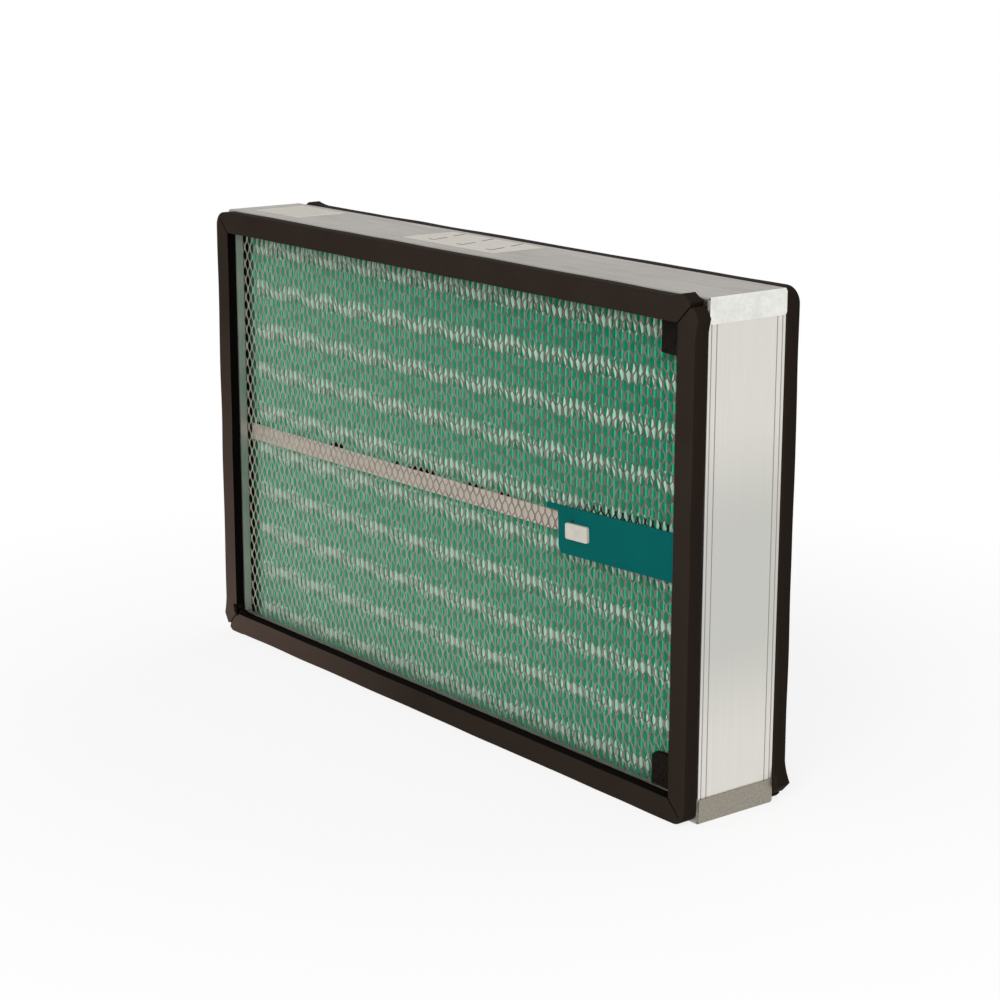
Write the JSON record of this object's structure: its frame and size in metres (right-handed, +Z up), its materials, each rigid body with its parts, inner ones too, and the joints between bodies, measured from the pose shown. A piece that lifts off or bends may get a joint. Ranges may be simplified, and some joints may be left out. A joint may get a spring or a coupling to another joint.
{
  "type": "panel dust filter",
  "caption": "Flat panel air filter: folded green media in a shallow metal frame, mesh guards and a foam sealing gasket on both faces, with a pull tab at the front.",
  "frame": {"origin": "centre of the base, under the middle of the frame", "axes": "+X along the length, +Y from the tabbed front face to the rear face, +Z up"},
  "size_m": [0.503, 0.08, 0.309],
  "materials": {
    "galvanised_sheet": "dull grey zinc with soft cloudy patches and a faint sheen",
    "extruded_aluminium": "pale satin mill finish with fine upright drawing lines",
    "expanded_metal": "dull warm grey zinc on twisted strands",
    "filter_media": "matt fibrous saturated green, paler along the folded tips",
    "spacer_glue": "pale milky green hot melt",
    "potting_compound": "flat cream resin with a slight sheen",
    "foam_rubber": "matt brown-black closed-cell foam with a fine grain",
    "beige_board": "flat pinkish beige board",
    "teal_plastic": "smooth deep teal sheet with a low sheen",
    "white_plastic": "smooth off-white moulding",
    "pad_foam": "matt black foam",
    "label_paper": "flat off-white paper"
  },
  "bodies": {
    "root": {"bottom_cap": "galvanised_sheet", "top_cap": "galvanised_sheet", "right_end_profile": "extruded_aluminium", "left_end_profile": "extruded_aluminium", "front_guard": "expanded_metal", "rear_guard": "expanded_metal", "pleat_pack": "filter_media", "front_glue_lines": "spacer_glue", "rear_glue_lines": "spacer_glue", "right_side_seal": "potting_compound", "left_side_seal": "potting_compound", "bottom_potting": "potting_compound", "top_potting": "potting_compound", "front_gasket_left_top": "foam_rubber", "front_gasket_right_bottom": "foam_rubber", "rear_gasket_right_top": "foam_rubber", "rear_gasket_left_bottom": "foam_rubber", "centre_strip": "beige_board", "pull_tab": "teal_plastic", "tab_clip": "white_plastic", "upper_corner_pad": "pad_foam", "lower_corner_pad": "pad_foam", "label_left": "label_paper", "label_centre": "label_paper"}
  },
  "joints": []
}
